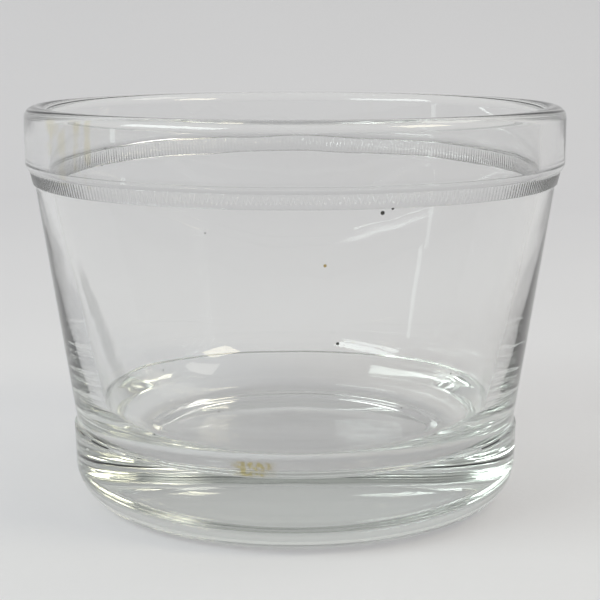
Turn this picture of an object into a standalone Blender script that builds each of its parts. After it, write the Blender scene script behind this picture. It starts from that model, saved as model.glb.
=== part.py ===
"""Squat beaker of pressed soda-lime glass, with a plain rim band over a fine knurled ring.

The whole vessel is one moulding: a thick foot, a tapered wall and a rounded lip, open at the top.
Metres, +Z up. The origin is the centre of the foot ring, on the surface that the beaker stands on.
"""
import math

import bmesh
import bpy

MM = 0.001

# Overall size
RIM_DIAMETER = 90.0 * MM
HEIGHT = 67.0 * MM

# Foot: a recessed underside, a narrow flat ring to stand on, a round heel and an upright heel wall
RECESS_DEPTH = 1.0 * MM
RECESS_FLAT_RADIUS = 25.0 * MM
FOOT_RING_INNER_RADIUS = 28.5 * MM
FOOT_RING_OUTER_RADIUS = 30.3 * MM
HEEL_RADIUS = 7.3 * MM
HEEL_TOP_RADIUS = 37.95 * MM
HEEL_TOP_HEIGHT = 13.4 * MM
HEEL_EDGE_ROUND = 0.4 * MM

# Tapered outer wall, from the step on the heel up to the knurled ring
WALL_FOOT_RADIUS = 37.4 * MM
WALL_FOOT_HEIGHT = 13.8 * MM
WALL_TOP_RADIUS = 43.45 * MM
WALL_TOP_HEIGHT = 54.2 * MM

# Knurled ring: upright teeth on a narrow sloping band under the rim
TOOTH_COUNT = 384
TOOTH_DEPTH = 0.08 * MM
KNURL_LOW_RADIUS = 43.8 * MM
KNURL_LOW_HEIGHT = 54.4 * MM
KNURL_HIGH_RADIUS = 44.25 * MM
KNURL_HIGH_HEIGHT = 56.3 * MM

# Rim band: a rounded shoulder over the knurl, a straight side and a rounded lip
SHOULDER_FOOT_RADIUS = 44.3 * MM
SHOULDER_FOOT_HEIGHT = 56.5 * MM
SHOULDER_ROUND = 1.6 * MM
SHOULDER_TOP_HEIGHT = 58.2 * MM
LIP_THICKNESS = 3.9 * MM
LIP_ROUND = 1.9 * MM

# Cavity: an upright neck, a drafted wall, a round corner and a slightly dished floor
NECK_BOTTOM_HEIGHT = 55.0 * MM
CAVITY_DRAFT = math.radians(10.8)
CAVITY_CORNER_RADIUS = 12.0 * MM
FLOOR_EDGE_HEIGHT = 10.4 * MM
FLOOR_DISH = 0.4 * MM

# Facets around the body; each tooth has a crest and a root, and a whole number of teeth meets a facet
BODY_FACETS = 64
COLUMNS_PER_TOOTH = 2

# Steps along the outline's curves
HEEL_STEPS = 7
HEEL_EDGE_STEPS = 2
SHOULDER_STEPS = 3
LIP_STEPS = 4
CORNER_STEPS = 7

MERGE_DISTANCE = 0.001 * MM
SMOOTH_ANGLE = math.radians(35)


def clear_scene():
    """Remove whatever the open scene holds."""
    for thing in list(bpy.data.objects):
        bpy.data.objects.remove(thing, do_unlink=True)


def glass_material():
    """Clear soda-lime glass, with the faint green of the iron in it."""
    glass = bpy.data.materials.new("pressed_soda_lime_glass")
    glass.use_nodes = True
    shader = glass.node_tree.nodes["Principled BSDF"]
    shader.inputs["Base Color"].default_value = (0.90, 0.94, 0.91, 1.0)
    shader.inputs["Roughness"].default_value = 0.03
    shader.inputs["Metallic"].default_value = 0.0
    shader.inputs["IOR"].default_value = 1.52
    shader.inputs["Transmission Weight"].default_value = 1.0
    return glass


def arc(centre, radius, start, end, steps):
    """Points of an arc in the (radius, height) plane, with angles in radians from straight out."""
    points = []
    for step in range(steps + 1):
        angle = start + (end - start) * step / steps
        points.append((centre[0] + radius * math.cos(angle), centre[1] + radius * math.sin(angle)))
    return points


def lower_outline():
    """The outside from the axis, under the foot and up the tapered wall to the knurl."""
    heel_centre = (FOOT_RING_OUTER_RADIUS, HEEL_RADIUS)
    edge_centre = (HEEL_TOP_RADIUS - HEEL_EDGE_ROUND, HEEL_TOP_HEIGHT - HEEL_EDGE_ROUND)
    points = [(0.0, RECESS_DEPTH), (RECESS_FLAT_RADIUS, RECESS_DEPTH), (FOOT_RING_INNER_RADIUS, 0.0)]
    points.extend(arc(heel_centre, HEEL_RADIUS, -math.pi / 2, 0.0, HEEL_STEPS))
    points.extend(arc(edge_centre, HEEL_EDGE_ROUND, 0.0, math.pi / 2, HEEL_EDGE_STEPS))
    points.append((WALL_FOOT_RADIUS, WALL_FOOT_HEIGHT))
    points.append((WALL_TOP_RADIUS, WALL_TOP_HEIGHT))
    return points


def rim_outline():
    """The shoulder over the knurl, the side of the band and the rounded lip."""
    rim_radius = RIM_DIAMETER / 2
    shoulder_centre = (rim_radius - SHOULDER_ROUND, SHOULDER_TOP_HEIGHT)
    outer_centre = (rim_radius - LIP_ROUND, HEIGHT - LIP_ROUND)
    inner_centre = (rim_radius - LIP_THICKNESS + LIP_ROUND, HEIGHT - LIP_ROUND)
    points = [(SHOULDER_FOOT_RADIUS, SHOULDER_FOOT_HEIGHT)]
    points.extend(arc(shoulder_centre, SHOULDER_ROUND, -math.pi / 4, 0.0, SHOULDER_STEPS))
    points.extend(arc(outer_centre, LIP_ROUND, 0.0, math.pi / 2, LIP_STEPS))
    points.extend(arc(inner_centre, LIP_ROUND, math.pi / 2, math.pi, LIP_STEPS))
    return points


def cavity_outline():
    """The inside, down the neck and the drafted wall, round the corner and in to the axis."""
    neck_radius = RIM_DIAMETER / 2 - LIP_THICKNESS
    corner_height = FLOOR_EDGE_HEIGHT + CAVITY_CORNER_RADIUS
    corner_top = corner_height - CAVITY_CORNER_RADIUS * math.sin(CAVITY_DRAFT)
    wall_radius = neck_radius - (NECK_BOTTOM_HEIGHT - corner_top) * math.tan(CAVITY_DRAFT)
    floor_radius = wall_radius - CAVITY_CORNER_RADIUS * math.cos(CAVITY_DRAFT)
    points = [(neck_radius, NECK_BOTTOM_HEIGHT)]
    corner_centre = (floor_radius, corner_height)
    points.extend(arc(corner_centre, CAVITY_CORNER_RADIUS, -CAVITY_DRAFT, -math.pi / 2, CORNER_STEPS))
    points.append((0.0, FLOOR_EDGE_HEIGHT - FLOOR_DISH))
    return points


def turn_outline(shape, outline):
    """Turn an outline of (radius, height) points once around Z and return its new edges."""
    before = set(shape.edges)
    corners = [shape.verts.new((radius, 0.0, height)) for radius, height in outline]
    sides = [shape.edges.new(pair) for pair in zip(corners, corners[1:])]
    bmesh.ops.spin(
        shape, geom=corners + sides, cent=(0.0, 0.0, 0.0), axis=(0.0, 0.0, 1.0),
        angle=2 * math.pi, steps=BODY_FACETS, use_merge=True)
    bmesh.ops.remove_doubles(shape, verts=shape.verts[:], dist=MERGE_DISTANCE)
    return [edge for edge in shape.edges if edge not in before]


def open_edges(edges, height):
    """The edges of the open end that lies at this height."""
    ends = []
    for edge in edges:
        if edge.is_boundary and abs(edge.verts[0].co.z - height) < MERGE_DISTANCE:
            ends.append(edge)
    return ends


def toothed_loop(shape, crest_radius, height):
    """A closed loop of teeth: crests and roots in turn."""
    columns = TOOTH_COUNT * COLUMNS_PER_TOOTH
    corners = []
    for column in range(columns):
        angle = 2 * math.pi * column / columns
        radius = crest_radius - TOOTH_DEPTH * (column % COLUMNS_PER_TOOTH)
        corners.append(shape.verts.new((radius * math.cos(angle), radius * math.sin(angle), height)))
    return [shape.edges.new((corners[i - 1], corners[i])) for i in range(columns)]


def beaker_mesh():
    """One closed skin: the outside below the knurl, the teeth, then the rim and the cavity."""
    shape = bmesh.new()
    outside = turn_outline(shape, lower_outline())
    wall_end = open_edges(outside, WALL_TOP_HEIGHT)
    inside = turn_outline(shape, rim_outline() + cavity_outline())
    rim_end = open_edges(inside, SHOULDER_FOOT_HEIGHT)
    teeth_low = toothed_loop(shape, KNURL_LOW_RADIUS, KNURL_LOW_HEIGHT)
    teeth_high = toothed_loop(shape, KNURL_HIGH_RADIUS, KNURL_HIGH_HEIGHT)
    bmesh.ops.bridge_loops(shape, edges=wall_end + teeth_low)
    bmesh.ops.bridge_loops(shape, edges=teeth_low + teeth_high)
    bmesh.ops.bridge_loops(shape, edges=teeth_high + rim_end)
    bmesh.ops.recalc_face_normals(shape, faces=shape.faces[:])
    mesh = bpy.data.meshes.new("beaker_glass")
    shape.to_mesh(mesh)
    shape.free()
    mesh.shade_smooth()
    mesh.set_sharp_from_angle(angle=SMOOTH_ANGLE)
    return mesh


def add_beaker():
    """Place the one moulded piece."""
    beaker = bpy.data.objects.new("beaker_glass", beaker_mesh())
    beaker.data.materials.append(glass_material())
    bpy.context.scene.collection.objects.link(beaker)


clear_scene()
add_beaker()
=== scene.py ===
import math

import bmesh
import bpy
from mathutils import Matrix, Vector


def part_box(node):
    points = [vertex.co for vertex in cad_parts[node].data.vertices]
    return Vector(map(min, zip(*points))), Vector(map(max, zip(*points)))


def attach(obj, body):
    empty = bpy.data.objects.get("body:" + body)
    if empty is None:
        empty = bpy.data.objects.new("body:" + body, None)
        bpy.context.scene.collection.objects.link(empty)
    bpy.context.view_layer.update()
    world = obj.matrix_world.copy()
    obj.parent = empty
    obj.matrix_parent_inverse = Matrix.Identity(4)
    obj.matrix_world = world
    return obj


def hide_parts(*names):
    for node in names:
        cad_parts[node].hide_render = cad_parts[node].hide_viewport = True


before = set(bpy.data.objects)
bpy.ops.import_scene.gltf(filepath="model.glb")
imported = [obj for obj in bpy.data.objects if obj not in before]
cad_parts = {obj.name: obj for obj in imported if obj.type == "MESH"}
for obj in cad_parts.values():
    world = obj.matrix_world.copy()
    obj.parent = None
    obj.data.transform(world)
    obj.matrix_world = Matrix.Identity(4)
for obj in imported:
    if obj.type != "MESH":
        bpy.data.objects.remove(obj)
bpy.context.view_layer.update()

# --------------------------------------------------------------------------------------------------
# Vessel: one thick beaker of soda-lime glass, pressed in an iron mould by a plunger and then fire-polished.
# The mould gives the rim band, the knurled ring, the tapered wall and the heel, and the plunger the cavity.
# --------------------------------------------------------------------------------------------------
MM = 0.001

foot_corner, rim_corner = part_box("beaker_glass")
RIM_RADIUS = rim_corner.x
HEIGHT = rim_corner.z

RECESS_DEPTH = 1.0 * MM
RECESS_FLAT_RADIUS = 25.0 * MM
RECESS_ROUND = 4.0 * MM
FOOT_RING_INNER_RADIUS = 28.5 * MM
FOOT_RING_ROUND = 1.0 * MM
HEEL_FOOT_RADIUS = 37.55 * MM
HEEL_ROUND = 7.3 * MM
HEEL_TOP_RADIUS = 37.95 * MM
HEEL_TOP_HEIGHT = 13.4 * MM
HEEL_EDGE_ROUND = 0.4 * MM

WALL_FOOT_RADIUS = 37.4 * MM
WALL_FOOT_HEIGHT = 13.8 * MM
WALL_FOOT_ROUND = 0.5 * MM
WALL_TOP_RADIUS = 43.45 * MM
WALL_TOP_HEIGHT = 54.2 * MM

SHOULDER_FOOT_RADIUS = 44.3 * MM
SHOULDER_FOOT_HEIGHT = 56.5 * MM
SHOULDER_CORNER_HEIGHT = 57.0 * MM
SHOULDER_ROUND = 1.6 * MM
LIP_THICKNESS = 3.9 * MM
LIP_ROUND = 1.9 * MM

NECK_BOTTOM_HEIGHT = 55.0 * MM
NECK_ROUND = 12.0 * MM
CAVITY_DRAFT = math.radians(10.8)
CAVITY_ROUND = 12.0 * MM
FLOOR_EDGE_HEIGHT = 10.4 * MM
FLOOR_DISH = 0.4 * MM

TOOTH_COUNT = 384
TOOTH_DEPTH = 0.08 * MM
COLUMNS_PER_TOOTH = 4
KNURL_LOW_RADIUS = 43.8 * MM
KNURL_LOW_HEIGHT = 54.4 * MM
KNURL_HIGH_RADIUS = 44.25 * MM
KNURL_HIGH_HEIGHT = 56.3 * MM

BODY_COLUMNS = 512
ROUND_STEP = math.radians(5)
MERGE_DISTANCE = 0.001 * MM
SMOOTH_ANGLE = math.radians(50)


def add_outline(shape, corners):
    """An outline of (radius, height, round) corners in the XZ plane, with each corner turned to an arc."""
    points = [shape.verts.new((radius, 0.0, height)) for radius, height, _ in corners]
    for pair in zip(points, points[1:]):
        shape.edges.new(pair)
    for point, (_, _, rounding) in zip(points, corners):
        if rounding:
            sides = [edge.other_vert(point).co - point.co for edge in point.link_edges]
            opening = sides[0].angle(sides[1])
            bmesh.ops.bevel(
                shape, geom=[point], offset=rounding / math.tan(opening / 2), offset_type="OFFSET",
                segments=max(2, round((math.pi - opening) / ROUND_STEP)), profile=0.5,
                affect="VERTICES", material=-1)


def turn(shape, corners):
    """Turn an outline once around the vessel's axis and return its new edges."""
    before = set(shape.edges)
    add_outline(shape, corners)
    wires = [edge for edge in shape.edges if edge not in before]
    points = list({point for edge in wires for point in edge.verts})
    bmesh.ops.spin(
        shape, geom=points + wires, cent=(0, 0, 0), axis=(0, 0, 1), angle=2 * math.pi,
        steps=BODY_COLUMNS, use_merge=True)
    bmesh.ops.remove_doubles(shape, verts=shape.verts[:], dist=MERGE_DISTANCE)
    return [edge for edge in shape.edges if edge not in before]


def lies_at(edge, height):
    """Whether an edge lies level at this height."""
    return all(abs(point.co.z - height) < MERGE_DISTANCE for point in edge.verts)


def open_end(edges, height):
    """The edges of the open end that lies at this height."""
    return [edge for edge in edges if edge.is_boundary and lies_at(edge, height)]


def ring_of_teeth(shape, radius, height):
    """A closed ring of round teeth: crest, flank, root and flank in turn."""
    columns = TOOTH_COUNT * COLUMNS_PER_TOOTH
    ring = bmesh.ops.create_circle(
        shape, cap_ends=False, radius=radius, segments=columns,
        matrix=Matrix.Translation((0, 0, height)))["verts"]
    ring.sort(key=lambda point: math.atan2(point.co.y, point.co.x))
    for phase, depth in ((1, TOOTH_DEPTH / 2), (2, TOOTH_DEPTH), (3, TOOTH_DEPTH / 2)):
        shrink = 1 - depth / radius
        bmesh.ops.scale(shape, vec=(shrink, shrink, 1), verts=ring[phase::COLUMNS_PER_TOOTH])
    return list({edge for point in ring for edge in point.link_edges})


neck_radius = RIM_RADIUS - LIP_THICKNESS
cavity_foot_radius = neck_radius - (NECK_BOTTOM_HEIGHT - FLOOR_EDGE_HEIGHT) * math.tan(CAVITY_DRAFT)
outside_corners = (
    (0.0, RECESS_DEPTH, 0),
    (RECESS_FLAT_RADIUS, RECESS_DEPTH, RECESS_ROUND),
    (FOOT_RING_INNER_RADIUS, 0.0, FOOT_RING_ROUND),
    (HEEL_FOOT_RADIUS, 0.0, HEEL_ROUND),
    (HEEL_TOP_RADIUS, HEEL_TOP_HEIGHT, HEEL_EDGE_ROUND),
    (WALL_FOOT_RADIUS, WALL_FOOT_HEIGHT, WALL_FOOT_ROUND),
    (WALL_TOP_RADIUS, WALL_TOP_HEIGHT, 0),
)
inside_corners = (
    (SHOULDER_FOOT_RADIUS, SHOULDER_FOOT_HEIGHT, 0),
    (RIM_RADIUS, SHOULDER_CORNER_HEIGHT, SHOULDER_ROUND),
    (RIM_RADIUS, HEIGHT, LIP_ROUND),
    (neck_radius, HEIGHT, LIP_ROUND),
    (neck_radius, NECK_BOTTOM_HEIGHT, NECK_ROUND),
    (cavity_foot_radius, FLOOR_EDGE_HEIGHT, CAVITY_ROUND),
    (0.0, FLOOR_EDGE_HEIGHT - FLOOR_DISH, 0),
)

shape = bmesh.new()
outside = turn(shape, outside_corners)
wall_end = open_end(outside, WALL_TOP_HEIGHT)
inside = turn(shape, inside_corners)
rim_end = open_end(inside, SHOULDER_FOOT_HEIGHT)
teeth_low = ring_of_teeth(shape, KNURL_LOW_RADIUS, KNURL_LOW_HEIGHT)
teeth_high = ring_of_teeth(shape, KNURL_HIGH_RADIUS, KNURL_HIGH_HEIGHT)
bmesh.ops.bridge_loops(shape, edges=wall_end + teeth_low)
bmesh.ops.bridge_loops(shape, edges=teeth_low + teeth_high)
bmesh.ops.bridge_loops(shape, edges=teeth_high + rim_end)
bmesh.ops.remove_doubles(shape, verts=shape.verts[:], dist=MERGE_DISTANCE)
bmesh.ops.recalc_face_normals(shape, faces=shape.faces[:])
for side in shape.faces:
    side.smooth = True
for edge in shape.edges:
    edge.smooth = edge.calc_face_angle() < SMOOTH_ANGLE
    if lies_at(edge, WALL_TOP_HEIGHT) or lies_at(edge, SHOULDER_FOOT_HEIGHT):
        edge.smooth = False
vessel_mesh = bpy.data.meshes.new("pressed_glass_vessel")
shape.to_mesh(vessel_mesh)
shape.free()
vessel = bpy.data.objects.new("pressed_glass_vessel", vessel_mesh)
bpy.context.scene.collection.objects.link(vessel)


def linear(code):
    """An sRGB hex colour as linear red, green, blue and an alpha of 1."""
    parts = [int(code[i:i + 2], 16) / 255 for i in (0, 2, 4)]
    return tuple(p / 12.92 if p <= 0.04045 else ((p + 0.055) / 1.055) ** 2.4 for p in parts) + (1.0,)


def add_node(tree, kind, inputs=None, links=None, **settings):
    """Add a node to a tree, set its properties and sockets, and link other nodes' outputs to it."""
    node = tree.nodes.new(kind)
    for name, value in settings.items():
        setattr(node, name, value)
    for name, value in (inputs or {}).items():
        node.inputs[name].default_value = value
    for name, output in (links or {}).items():
        tree.links.new(output, node.inputs[name])
    return node


def fade(tree, value, start, end):
    """A smooth 0 to 1 as a value goes from start to end."""
    return add_node(
        tree, "ShaderNodeMapRange", {"From Min": start, "From Max": end}, {"Value": value},
        interpolation_type="SMOOTHSTEP").outputs["Result"]


def calculate(tree, operation, first, second):
    """The result of one sum on two values, each a socket or a plain number."""
    node = add_node(tree, "ShaderNodeMath", operation=operation)
    for socket, value in zip(node.inputs, (first, second)):
        if isinstance(value, bpy.types.NodeSocket):
            tree.links.new(value, socket)
        else:
            socket.default_value = value
    return node.outputs["Value"]


def between(tree, value, low, high, soft):
    """1 from low to high, fading to 0 over a soft edge at each end."""
    return calculate(
        tree, "MULTIPLY", fade(tree, value, low - soft, low), fade(tree, value, high + soft, high))


def between_bearings(tree, bearing, limits, soft):
    """1 between two bearings from the front, in degrees, fading to 0 over a soft edge at each end."""
    return between(tree, bearing, math.radians(limits[0]), math.radians(limits[1]), math.radians(soft))


def outside_radius(height):
    """The radius of the tapered wall, or of the band above it, at a height."""
    if height > SHOULDER_CORNER_HEIGHT:
        return RIM_RADIUS
    wall_slope = (WALL_TOP_RADIUS - WALL_FOOT_RADIUS) / (WALL_TOP_HEIGHT - WALL_FOOT_HEIGHT)
    return WALL_FOOT_RADIUS + (height - WALL_FOOT_HEIGHT) * wall_slope


def spot(tree, position, bearing, height, size):
    """A small soft-edged mark on the outside, at a bearing in degrees from the front and a height."""
    radius = outside_radius(height)
    turned = math.radians(bearing)
    centre = Vector((radius * math.sin(turned), -radius * math.cos(turned), height))
    gap = add_node(tree, "ShaderNodeVectorMath", {1: centre}, {0: position}, operation="DISTANCE")
    return fade(tree, gap.outputs["Value"], size / 2 * (1 + SPOT_SOFTNESS), size / 2 * (1 - SPOT_SOFTNESS))


def noise(tree, position, lumps_per_metre, detail, **inputs):
    """Noise from 0 to 1, with about this many lumps in a metre."""
    return add_node(
        tree, "ShaderNodeTexNoise", {"Scale": lumps_per_metre, "Detail": detail, **inputs},
        {"Vector": position}).outputs["Fac"]


# The Mix node's own numbers for its amount, its two colours and its result
MIX_AMOUNT = 0
MIX_FIRST = 6
MIX_SECOND = 7
MIX_RESULT = 2


def tinted(tree, colour, amount, base):
    """The base seen through a colour, as far as the amount says."""
    mix = add_node(tree, "ShaderNodeMix", data_type="RGBA", blend_type="MULTIPLY")
    tree.links.new(amount, mix.inputs[MIX_AMOUNT])
    tree.links.new(base, mix.inputs[MIX_FIRST])
    mix.inputs[MIX_SECOND].default_value = linear(colour)
    return mix.outputs[MIX_RESULT]


# Soda-lime glass bends light by 1.52. It is clear in a thin wall, and its trace of iron turns the long ways
# through the heel grey-green. Pressing leaves long low waves in it, and handling leaves a thin film that
# takes a little light.
GLASS_IOR = 1.52
IRON_TINT = "E3E9E2"
IRON_DENSITY = 9.0
FILM = "FCFCFC"
WAVES_PER_METRE = 90.0
WAVE_SOFTNESS = 0.4
WAVE_HEIGHT = 0.05 * MM
SMEARS_PER_METRE = 260.0
SMEAR_EDGES = (0.52, 0.72)
SMEAR_ROUGHNESS = 0.03

# Dirt: a bearing in degrees from the front, a height and a size in millimetres for each dark speck
SPOT_SOFTNESS = 0.2
DIRT_COLOUR = "0A0907"
DIRT_SPECKS = (
    (17.0, 53.6, 0.65), (19.0, 54.2, 0.45), (9.0, 34.1, 0.50), (-17.5, 50.6, 0.22), (-38.0, 62.3, 0.26),
    (-39.0, 59.8, 0.20), (37.0, 27.7, 0.30), (24.5, 23.3, 0.26), (-30.0, 28.9, 0.22), (-17.0, 23.1, 0.22),
)

# Dried amber residue: grains in the step above the heel, one drop on the wall and two runs down the band.
# Bearings are in degrees from the front, and each patch has a soft edge.
RESIDUE_COLOUR = "D6BE6A"
RESIDUE_BEARINGS = (-12.0, -7.5)
RESIDUE_BEARING_SOFTNESS = 4.0
RESIDUE_HEIGHTS = (13.5 * MM, 15.0 * MM)
RESIDUE_HEIGHT_SOFTNESS = 0.6 * MM
RESIDUE_GRAINS_PER_METRE = 1400.0
RESIDUE_GRAIN_EDGES = (0.42, 0.62)
RESIDUE_FILM = 0.4
RESIDUE_ROUGHNESS = 0.1
DROP_COLOUR = "9C7A32"
DROP = (6.0, 46.0 * MM, 0.5 * MM)
RUN_COLOUR = "F6EFD2"
RUN_HEIGHTS = (57.0 * MM, 65.5 * MM)
RUN_HEIGHT_SOFTNESS = 1.0 * MM
WIDE_RUN_BEARINGS = (-57.0, -55.0)
WIDE_RUN_SOFTNESS = 2.0
THIN_RUN_BEARINGS = (-46.8, -45.8)
THIN_RUN_SOFTNESS = 1.0
RUN_BREAKS = (0.40, 0.62)

# A fold in the cavity wall, left where the hot glass first met the plunger. It leans as it rises and wavers a
# little. Its dark tint is painted
# shade: a dark colour laid along the fold, which grows stronger the more nearly edge on the wall is seen.
FOLD_PAINTED_SHADE_COLOUR = "1A2218"
FOLD_LEAN = math.radians(10.0) / (18.0 * MM)
FOLD_START = math.radians(-110.2)
FOLD_WAVER = 0.16
FOLD_HALF_WIDTH = 0.03
FOLD_SOFTNESS = 0.09
FOLD_HEIGHTS = (17.0 * MM, 35.0 * MM)
FOLD_HEIGHT_SOFTNESS = 6.0 * MM
FOLD_RELIEF = 0.6
FOLD_EDGE_POWER = 1.5
CAVITY_WALL_EDGES = (32.4 * MM, 31.9 * MM)

glass = bpy.data.materials.new("pressed_soda_lime_glass")
glass.use_nodes = True
tree = glass.node_tree
tree.nodes.clear()
position = add_node(tree, "ShaderNodeTexCoord").outputs["Object"]
axes = add_node(tree, "ShaderNodeSeparateXYZ", None, {"Vector": position}).outputs
bearing = calculate(tree, "ARCTAN2", axes["X"], calculate(tree, "MULTIPLY", axes["Y"], -1.0))
across = calculate(tree, "MULTIPLY", axes["X"], axes["X"])
along = calculate(tree, "MULTIPLY", axes["Y"], axes["Y"])
reach = calculate(tree, "SQRT", calculate(tree, "ADD", across, along), 0.0)
grain = noise(tree, position, RESIDUE_GRAINS_PER_METRE, 2.0)
cloud = noise(tree, position, SMEARS_PER_METRE, 3.0)

dirt = None
for speck_bearing, speck_height, speck_size in DIRT_SPECKS:
    speck = spot(tree, position, speck_bearing, speck_height * MM, speck_size * MM)
    dirt = speck if dirt is None else calculate(tree, "MAXIMUM", dirt, speck)

residue_round = between_bearings(tree, bearing, RESIDUE_BEARINGS, RESIDUE_BEARING_SOFTNESS)
residue_up = between(tree, axes["Z"], *RESIDUE_HEIGHTS, RESIDUE_HEIGHT_SOFTNESS)
residue_grains = calculate(tree, "ADD", fade(tree, grain, *RESIDUE_GRAIN_EDGES), RESIDUE_FILM)
residue = calculate(tree, "MULTIPLY", calculate(tree, "MULTIPLY", residue_round, residue_up), residue_grains)
drop = spot(tree, position, *DROP)
wide_run = between_bearings(tree, bearing, WIDE_RUN_BEARINGS, WIDE_RUN_SOFTNESS)
thin_run = between_bearings(tree, bearing, THIN_RUN_BEARINGS, THIN_RUN_SOFTNESS)
run_up = between(tree, axes["Z"], *RUN_HEIGHTS, RUN_HEIGHT_SOFTNESS)
whole_runs = calculate(tree, "MULTIPLY", run_up, calculate(tree, "MAXIMUM", wide_run, thin_run))
runs = calculate(tree, "MULTIPLY", whole_runs, fade(tree, cloud, *RUN_BREAKS))

fold_middle = calculate(tree, "ADD", calculate(tree, "MULTIPLY", axes["Z"], FOLD_LEAN), FOLD_START)
fold_waver = calculate(tree, "MULTIPLY", calculate(tree, "SUBTRACT", cloud, 0.5), FOLD_WAVER)
from_middle = calculate(tree, "ADD", calculate(tree, "SUBTRACT", bearing, fold_middle), fold_waver)
fold_across = between(tree, from_middle, -FOLD_HALF_WIDTH, FOLD_HALF_WIDTH, FOLD_SOFTNESS)
fold_up = between(tree, axes["Z"], *FOLD_HEIGHTS, FOLD_HEIGHT_SOFTNESS)
drafted_reach = calculate(
    tree, "SUBTRACT", reach, calculate(tree, "MULTIPLY", axes["Z"], math.tan(CAVITY_DRAFT)))
on_cavity_wall = fade(tree, drafted_reach, *CAVITY_WALL_EDGES)
# One mask for the fold's relief and for its painted shade
fold_and_painted_shade = calculate(tree, "MULTIPLY", calculate(tree, "MULTIPLY", fold_across, on_cavity_wall), fold_up)
# The fold's dark tint is painted shade, stronger the more nearly edge on the wall is seen
facing = add_node(tree, "ShaderNodeLayerWeight").outputs["Facing"]
fold_painted_shade = calculate(tree, "MULTIPLY", fold_and_painted_shade, calculate(tree, "POWER", facing, FOLD_EDGE_POWER))

film = add_node(tree, "ShaderNodeRGB")
film.outputs["Color"].default_value = linear(FILM)
colour = tinted(tree, RESIDUE_COLOUR, residue, film.outputs["Color"])
colour = tinted(tree, DROP_COLOUR, drop, colour)
colour = tinted(tree, RUN_COLOUR, runs, colour)
# Painted shade: a dark tint along the fold
colour = tinted(tree, FOLD_PAINTED_SHADE_COLOUR, fold_painted_shade, colour)
colour = tinted(tree, DIRT_COLOUR, dirt, colour)

waves = noise(tree, position, WAVES_PER_METRE, 1.0, Roughness=WAVE_SOFTNESS)
relief = calculate(tree, "ADD", waves, calculate(tree, "MULTIPLY", fold_and_painted_shade, FOLD_RELIEF))
skin = add_node(tree, "ShaderNodeBump", {"Strength": 1.0, "Distance": WAVE_HEIGHT}, {"Height": relief})
smear = calculate(tree, "MULTIPLY", fade(tree, cloud, *SMEAR_EDGES), SMEAR_ROUGHNESS)
matt = calculate(tree, "ADD", smear, calculate(tree, "MULTIPLY", residue, RESIDUE_ROUGHNESS))
body = add_node(
    tree, "ShaderNodeBsdfPrincipled", {"IOR": GLASS_IOR, "Transmission Weight": 1.0},
    {"Base Color": colour, "Roughness": matt, "Normal": skin.outputs["Normal"]})
iron = add_node(tree, "ShaderNodeVolumeAbsorption", {"Color": linear(IRON_TINT), "Density": IRON_DENSITY})
add_node(
    tree, "ShaderNodeOutputMaterial", None,
    {"Surface": body.outputs["BSDF"], "Volume": iron.outputs["Volume"]})
vessel_mesh.materials.append(glass)

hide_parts("beaker_glass")
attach(vessel, "root")

# --------------------------------------------------------------------------------------------------
# Stand and backdrop: one sheet of matt off-white card, lying flat under the beaker and curving up behind it.
# --------------------------------------------------------------------------------------------------
CARD_DROP = 0.05 * MM
CARD_HALF_WIDTH = 1.5
CARD_FRONT = -1.5
BEND_START = 0.45
BEND_RADIUS = 0.25
BEND_STEPS = 24
CARD_TOP = 1.2

# Matt card throws light back evenly, with hardly any shine. Its real fibres are about a tenth of a millimetre
# across, too fine to show, so they are drawn coarser. The glow is light that the rest of a bright room
# bounces on to it, and it fades up the curve.
CARD_DARK = "BAB9BC"
CARD_LIGHT = "C3C2C5"
CARD_ROUGHNESS = 0.9
CARD_SHINE = 0.1
FIBRES_PER_METRE = 700.0
FIBRE_ROUGHNESS = 0.7
FIBRE_HEIGHT = 0.1 * MM
NAP_STRENGTH = 0.4
MOTTLES_PER_METRE = 9.0
FIBRE_SHARE = 0.35
CARD_GLOW = 0.27
BACK_GLOW = 0.15
GLOW_FADE_HEIGHT = 0.30

card_shape = bmesh.new()
corners = (
    (CARD_FRONT, 0.0),
    (BEND_START + BEND_RADIUS, 0.0),
    (BEND_START + BEND_RADIUS, CARD_TOP),
)
points = [card_shape.verts.new((-CARD_HALF_WIDTH, y, z - CARD_DROP)) for y, z in corners]
for pair in zip(points, points[1:]):
    card_shape.edges.new(pair)
bmesh.ops.bevel(
    card_shape, geom=[points[1]], offset=BEND_RADIUS, offset_type="OFFSET", segments=BEND_STEPS,
    profile=0.5, affect="VERTICES", material=-1)
sheet = bmesh.ops.extrude_edge_only(card_shape, edges=card_shape.edges[:])["geom"]
bmesh.ops.translate(
    card_shape, vec=(2 * CARD_HALF_WIDTH, 0, 0),
    verts=[item for item in sheet if isinstance(item, bmesh.types.BMVert)])
bmesh.ops.recalc_face_normals(card_shape, faces=card_shape.faces[:])
card_mesh = bpy.data.meshes.new("card_sweep")
card_shape.to_mesh(card_mesh)
card_shape.free()
card_mesh.shade_smooth()
card = bpy.data.objects.new("card_sweep", card_mesh)
bpy.context.scene.collection.objects.link(card)

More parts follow.
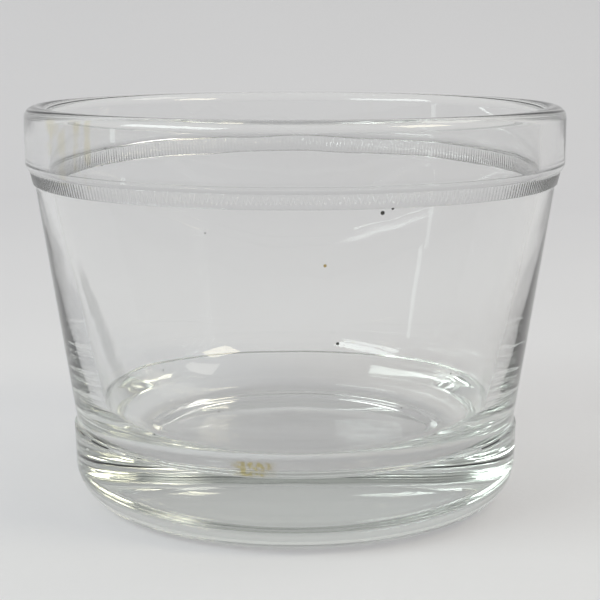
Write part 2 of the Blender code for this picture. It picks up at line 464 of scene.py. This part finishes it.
card_finish = bpy.data.materials.new("matt_card")
card_finish.use_nodes = True
tree = card_finish.node_tree
tree.nodes.clear()
position = add_node(tree, "ShaderNodeTexCoord").outputs["Object"]
axes = add_node(tree, "ShaderNodeSeparateXYZ", None, {"Vector": position}).outputs
fibres = noise(tree, position, FIBRES_PER_METRE, 4.0, Roughness=FIBRE_ROUGHNESS)
mottle = noise(tree, position, MOTTLES_PER_METRE, 2.0)
uneven = calculate(
    tree, "ADD", calculate(tree, "MULTIPLY", fibres, FIBRE_SHARE),
    calculate(tree, "MULTIPLY", mottle, 1 - FIBRE_SHARE))
shade = add_node(tree, "ShaderNodeMix", data_type="RGBA")
tree.links.new(uneven, shade.inputs[MIX_AMOUNT])
shade.inputs[MIX_FIRST].default_value = linear(CARD_DARK)
shade.inputs[MIX_SECOND].default_value = linear(CARD_LIGHT)
near_floor = fade(tree, axes["Z"], GLOW_FADE_HEIGHT, 0.0)
glow = calculate(tree, "ADD", BACK_GLOW, calculate(tree, "MULTIPLY", near_floor, CARD_GLOW - BACK_GLOW))
nap = add_node(
    tree, "ShaderNodeBump", {"Strength": NAP_STRENGTH, "Distance": FIBRE_HEIGHT}, {"Height": fibres})
paper = add_node(
    tree, "ShaderNodeBsdfPrincipled",
    {"Roughness": CARD_ROUGHNESS, "Specular IOR Level": CARD_SHINE, "Emission Color": linear("FFFFFF")},
    {"Base Color": shade.outputs[MIX_RESULT], "Emission Strength": glow, "Normal": nap.outputs["Normal"]})
add_node(tree, "ShaderNodeOutputMaterial", None, {"Surface": paper.outputs["BSDF"]})
card_mesh.materials.append(card_finish)

# --------------------------------------------------------------------------------------------------
# Studio light: a wide cool window to the left of the camera with a narrow bright doorway below it, a warm
# window to the right and another high behind, all soft. The room is an even white, slightly brighter above.
# --------------------------------------------------------------------------------------------------
WINDOW_DISTANCE = 0.75
COOL_LIGHT = "F4FFFB"
WARM_LIGHT = "FFF8DC"
HIGH_LIGHT = "FFFDF4"
HORIZON_LIGHT = 0.43
ZENITH_LIGHT = 0.46
DOME_START = 0.55
DOME_END = 0.95


def soft_light(name, bearing, rise, width, height, watts, colour):
    """A soft light facing the beaker, sized in metres, at a bearing from the back and a rise in degrees."""
    lamp = bpy.data.lights.new(name, "AREA")
    lamp.shape = "RECTANGLE"
    lamp.size = width
    lamp.size_y = height
    lamp.energy = watts
    lamp.color = linear(colour)[:3]
    holder = bpy.data.objects.new(name, lamp)
    turned = math.radians(bearing)
    raised = math.radians(rise)
    outward = Vector((math.sin(turned), math.cos(turned), 0.0)) * math.cos(raised)
    toward = outward + Vector((0.0, 0.0, math.sin(raised)))
    holder.location = toward * WINDOW_DISTANCE
    holder.rotation_euler = (-toward).to_track_quat("-Z", "Y").to_euler()
    bpy.context.scene.collection.objects.link(holder)


soft_light("left_window", -124, 40, 0.52, 0.21, 2.3, COOL_LIGHT)
soft_light("left_doorway", -103.5, 6, 0.035, 0.12, 0.032, COOL_LIGHT)
soft_light("right_window", 118, 46, 0.24, 0.20, 1.1, WARM_LIGHT)
soft_light("right_back_window", 72, 56, 0.24, 0.20, 0.4, HIGH_LIGHT)

room = bpy.data.worlds.new("studio_room")
bpy.context.scene.world = room
room.use_nodes = True
tree = room.node_tree
tree.nodes.clear()
place = add_node(tree, "ShaderNodeTexCoord")
direction = add_node(tree, "ShaderNodeSeparateXYZ", None, {"Vector": place.outputs["Generated"]})
dome = add_node(
    tree, "ShaderNodeMapRange",
    {"From Min": DOME_START, "From Max": DOME_END, "To Min": HORIZON_LIGHT, "To Max": ZENITH_LIGHT},
    {"Value": direction.outputs["Z"]}, interpolation_type="SMOOTHSTEP")
sky = add_node(
    tree, "ShaderNodeBackground", {"Color": linear("FFFFFF")}, {"Strength": dome.outputs["Result"]})
add_node(tree, "ShaderNodeOutputWorld", None, {"Surface": sky.outputs["Background"]})

# Light crosses many faces inside thick glass, so it is followed through more of them than usual
GLASS_BOUNCES = 24
GLOSS_BOUNCES = 12
bpy.context.scene.view_settings.view_transform = "Standard"
bpy.context.scene.cycles.max_bounces = GLASS_BOUNCES
bpy.context.scene.cycles.transmission_bounces = GLASS_BOUNCES
bpy.context.scene.cycles.glossy_bounces = GLOSS_BOUNCES

# --------------------------------------------------------------------------------------------------
# Camera: a long lens close in front of the beaker and a little above its rim, dipped by ten degrees so that
# the upright sides lean together slightly towards the foot.
# --------------------------------------------------------------------------------------------------
SENSOR_MM = 36.0
LENS_MM = 96.0
NEAREST = 0.01
CAMERA_PLACE = (0.0008, -0.270, 0.0814)
CAMERA_DIP = 10.05

lens = bpy.data.cameras.new("camera")
lens.sensor_width = SENSOR_MM
lens.lens = LENS_MM
lens.clip_start = NEAREST
camera = bpy.data.objects.new("camera", lens)
camera.location = CAMERA_PLACE
camera.rotation_euler = (math.radians(90 - CAMERA_DIP), 0, 0)
bpy.context.scene.collection.objects.link(camera)
bpy.context.scene.camera = camera
